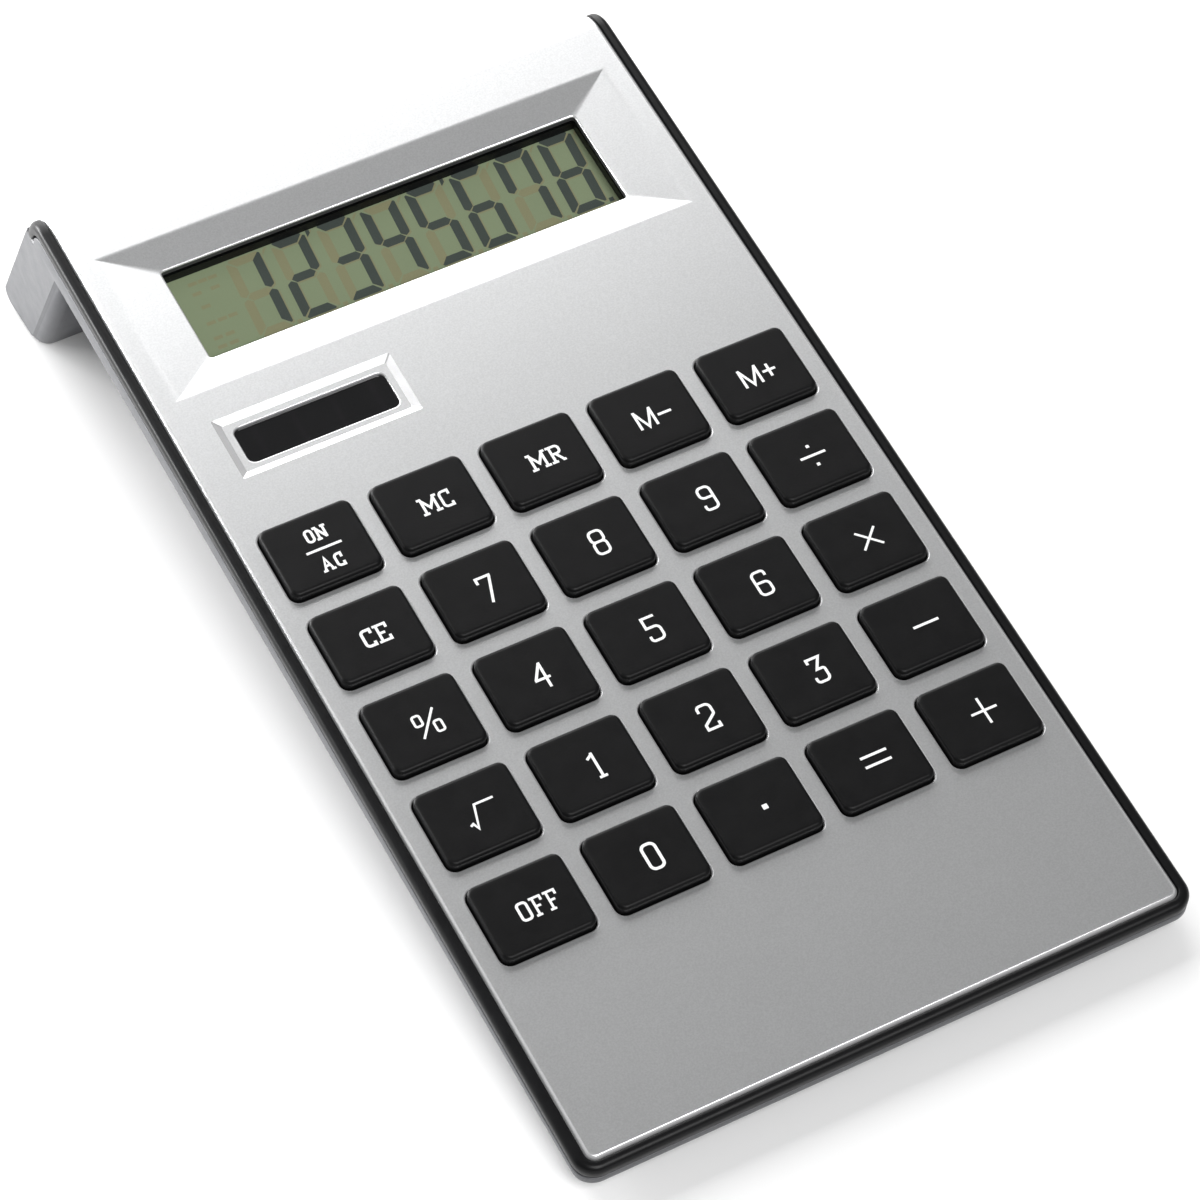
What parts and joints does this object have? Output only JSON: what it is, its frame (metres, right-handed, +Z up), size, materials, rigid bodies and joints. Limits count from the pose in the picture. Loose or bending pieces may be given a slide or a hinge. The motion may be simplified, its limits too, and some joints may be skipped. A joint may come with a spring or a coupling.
{
  "type": "desk calculator",
  "caption": "Desk calculator with a sloping silver panel, a display in a mitred recess, a solar cell, a field of square black keys and a full-width rear foot.",
  "frame": {"origin": "middle of the footprint, on the surface that the calculator stands on", "axes": "+X to the user's right, +Y away from the user towards the rear foot, +Z up"},
  "size_m": [0.1, 0.2012, 0.0344],
  "materials": {
    "silver_panel": "satin",
    "black_housing": "semi gloss",
    "grey_shell": "satin",
    "clear_lens": "clear",
    "lcd_glass": "matt polariser",
    "reflector": "satin",
    "ribbon": "film",
    "dark_lens": "gloss",
    "solar_cell": "gloss",
    "silicone": "matt",
    "board": "solder resist",
    "epoxy": "matt",
    "capacitor_sleeve": "gloss",
    "resistor_body": "gloss",
    "wire": "insulation",
    "cell_steel": "brushed",
    "contact_metal": "plated",
    "screw_steel": "zinc plated",
    "foot_rubber": "matt",
    "key_plastic": "fine matt"
  },
  "bodies": {
    "case": {"front_panel": "silver_panel", "upper_housing": "black_housing", "lower_shell": "grey_shell", "display_window": "clear_lens", "display_frame": "black_housing", "lcd_panel": "lcd_glass", "lcd_reflector": "reflector", "lcd_ribbon": "ribbon", "solar_window": "dark_lens", "solar_cell": "solar_cell", "keypad_mat": "silicone", "circuit_board": "board", "chip": "epoxy", "capacitor": "capacitor_sleeve", "resistors": "resistor_body", "solar_leads": "wire", "battery_leads": "wire", "button_cell": "cell_steel", "contact_positive": "contact_metal", "contact_negative": "contact_metal", "case_screws": "screw_steel", "board_screws": "screw_steel", "front_feet": "foot_rubber", "rear_feet": "foot_rubber"},
    "battery_door": {"battery_door": "grey_shell"},
    "key_on_ac": {"key_on_ac": "key_plastic"},
    "key_mc": {"key_mc": "key_plastic"},
    "key_mr": {"key_mr": "key_plastic"},
    "key_m_minus": {"key_m_minus": "key_plastic"},
    "key_m_plus": {"key_m_plus": "key_plastic"},
    "key_ce": {"key_ce": "key_plastic"},
    "key_7": {"key_7": "key_plastic"},
    "key_8": {"key_8": "key_plastic"},
    "key_9": {"key_9": "key_plastic"},
    "key_divide": {"key_divide": "key_plastic"},
    "key_percent": {"key_percent": "key_plastic"},
    "key_4": {"key_4": "key_plastic"},
    "key_5": {"key_5": "key_plastic"},
    "key_6": {"key_6": "key_plastic"},
    "key_multiply": {"key_multiply": "key_plastic"},
    "key_root": {"key_root": "key_plastic"},
    "key_1": {"key_1": "key_plastic"},
    "key_2": {"key_2": "key_plastic"},
    "key_3": {"key_3": "key_plastic"},
    "key_minus": {"key_minus": "key_plastic"},
    "key_off": {"key_off": "key_plastic"},
    "key_0": {"key_0": "key_plastic"},
    "key_point": {"key_point": "key_plastic"},
    "key_equals": {"key_equals": "key_plastic"},
    "key_plus": {"key_plus": "key_plastic"}
  },
  "joints": [
    {"name": "key_on_ac_press", "type": "slide", "parent": "case", "child": "key_on_ac", "axis": [0, -0.153, 0.9882], "range_m": [-0.0012, 0], "stiffness_N_per_m": 400, "deforming": ["keypad_mat"]},
    {"name": "key_mc_press", "type": "slide", "parent": "case", "child": "key_mc", "axis": [0, -0.153, 0.9882], "range_m": [-0.0012, 0], "stiffness_N_per_m": 400, "deforming": ["keypad_mat"]},
    {"name": "key_mr_press", "type": "slide", "parent": "case", "child": "key_mr", "axis": [0, -0.153, 0.9882], "range_m": [-0.0012, 0], "stiffness_N_per_m": 400, "deforming": ["keypad_mat"]},
    {"name": "key_m_minus_press", "type": "slide", "parent": "case", "child": "key_m_minus", "axis": [0, -0.153, 0.9882], "range_m": [-0.0012, 0], "stiffness_N_per_m": 400, "deforming": ["keypad_mat"]},
    {"name": "key_m_plus_press", "type": "slide", "parent": "case", "child": "key_m_plus", "axis": [0, -0.153, 0.9882], "range_m": [-0.0012, 0], "stiffness_N_per_m": 400, "deforming": ["keypad_mat"]},
    {"name": "key_ce_press", "type": "slide", "parent": "case", "child": "key_ce", "axis": [0, -0.153, 0.9882], "range_m": [-0.0012, 0], "stiffness_N_per_m": 400, "deforming": ["keypad_mat"]},
    {"name": "key_7_press", "type": "slide", "parent": "case", "child": "key_7", "axis": [0, -0.153, 0.9882], "range_m": [-0.0012, 0], "stiffness_N_per_m": 400, "deforming": ["keypad_mat"]},
    {"name": "key_8_press", "type": "slide", "parent": "case", "child": "key_8", "axis": [0, -0.153, 0.9882], "range_m": [-0.0012, 0], "stiffness_N_per_m": 400, "deforming": ["keypad_mat"]},
    {"name": "key_9_press", "type": "slide", "parent": "case", "child": "key_9", "axis": [0, -0.153, 0.9882], "range_m": [-0.0012, 0], "stiffness_N_per_m": 400, "deforming": ["keypad_mat"]},
    {"name": "key_divide_press", "type": "slide", "parent": "case", "child": "key_divide", "axis": [0, -0.153, 0.9882], "range_m": [-0.0012, 0], "stiffness_N_per_m": 400, "deforming": ["keypad_mat"]},
    {"name": "key_percent_press", "type": "slide", "parent": "case", "child": "key_percent", "axis": [0, -0.153, 0.9882], "range_m": [-0.0012, 0], "stiffness_N_per_m": 400, "deforming": ["keypad_mat"]},
    {"name": "key_4_press", "type": "slide", "parent": "case", "child": "key_4", "axis": [0, -0.153, 0.9882], "range_m": [-0.0012, 0], "stiffness_N_per_m": 400, "deforming": ["keypad_mat"]},
    {"name": "key_5_press", "type": "slide", "parent": "case", "child": "key_5", "axis": [0, -0.153, 0.9882], "range_m": [-0.0012, 0], "stiffness_N_per_m": 400, "deforming": ["keypad_mat"]},
    {"name": "key_6_press", "type": "slide", "parent": "case", "child": "key_6", "axis": [0, -0.153, 0.9882], "range_m": [-0.0012, 0], "stiffness_N_per_m": 400, "deforming": ["keypad_mat"]},
    {"name": "key_multiply_press", "type": "slide", "parent": "case", "child": "key_multiply", "axis": [0, -0.153, 0.9882], "range_m": [-0.0012, 0], "stiffness_N_per_m": 400, "deforming": ["keypad_mat"]},
    {"name": "key_root_press", "type": "slide", "parent": "case", "child": "key_root", "axis": [0, -0.153, 0.9882], "range_m": [-0.0012, 0], "stiffness_N_per_m": 400, "deforming": ["keypad_mat"]},
    {"name": "key_1_press", "type": "slide", "parent": "case", "child": "key_1", "axis": [0, -0.153, 0.9882], "range_m": [-0.0012, 0], "stiffness_N_per_m": 400, "deforming": ["keypad_mat"]},
    {"name": "key_2_press", "type": "slide", "parent": "case", "child": "key_2", "axis": [0, -0.153, 0.9882], "range_m": [-0.0012, 0], "stiffness_N_per_m": 400, "deforming": ["keypad_mat"]},
    {"name": "key_3_press", "type": "slide", "parent": "case", "child": "key_3", "axis": [0, -0.153, 0.9882], "range_m": [-0.0012, 0], "stiffness_N_per_m": 400, "deforming": ["keypad_mat"]},
    {"name": "key_minus_press", "type": "slide", "parent": "case", "child": "key_minus", "axis": [0, -0.153, 0.9882], "range_m": [-0.0012, 0], "stiffness_N_per_m": 400, "deforming": ["keypad_mat"]},
    {"name": "key_off_press", "type": "slide", "parent": "case", "child": "key_off", "axis": [0, -0.153, 0.9882], "range_m": [-0.0012, 0], "stiffness_N_per_m": 400, "deforming": ["keypad_mat"]},
    {"name": "key_0_press", "type": "slide", "parent": "case", "child": "key_0", "axis": [0, -0.153, 0.9882], "range_m": [-0.0012, 0], "stiffness_N_per_m": 400, "deforming": ["keypad_mat"]},
    {"name": "key_point_press", "type": "slide", "parent": "case", "child": "key_point", "axis": [0, -0.153, 0.9882], "range_m": [-0.0012, 0], "stiffness_N_per_m": 400, "deforming": ["keypad_mat"]},
    {"name": "key_equals_press", "type": "slide", "parent": "case", "child": "key_equals", "axis": [0, -0.153, 0.9882], "range_m": [-0.0012, 0], "stiffness_N_per_m": 400, "deforming": ["keypad_mat"]},
    {"name": "key_plus_press", "type": "slide", "parent": "case", "child": "key_plus", "axis": [0, -0.153, 0.9882], "range_m": [-0.0012, 0], "stiffness_N_per_m": 400, "deforming": ["keypad_mat"]},
    {"name": "battery_door_slide", "type": "slide", "parent": "case", "child": "battery_door", "axis": [0, 0.9882, 0.153], "range_m": [0, 0.003]}
  ]
}
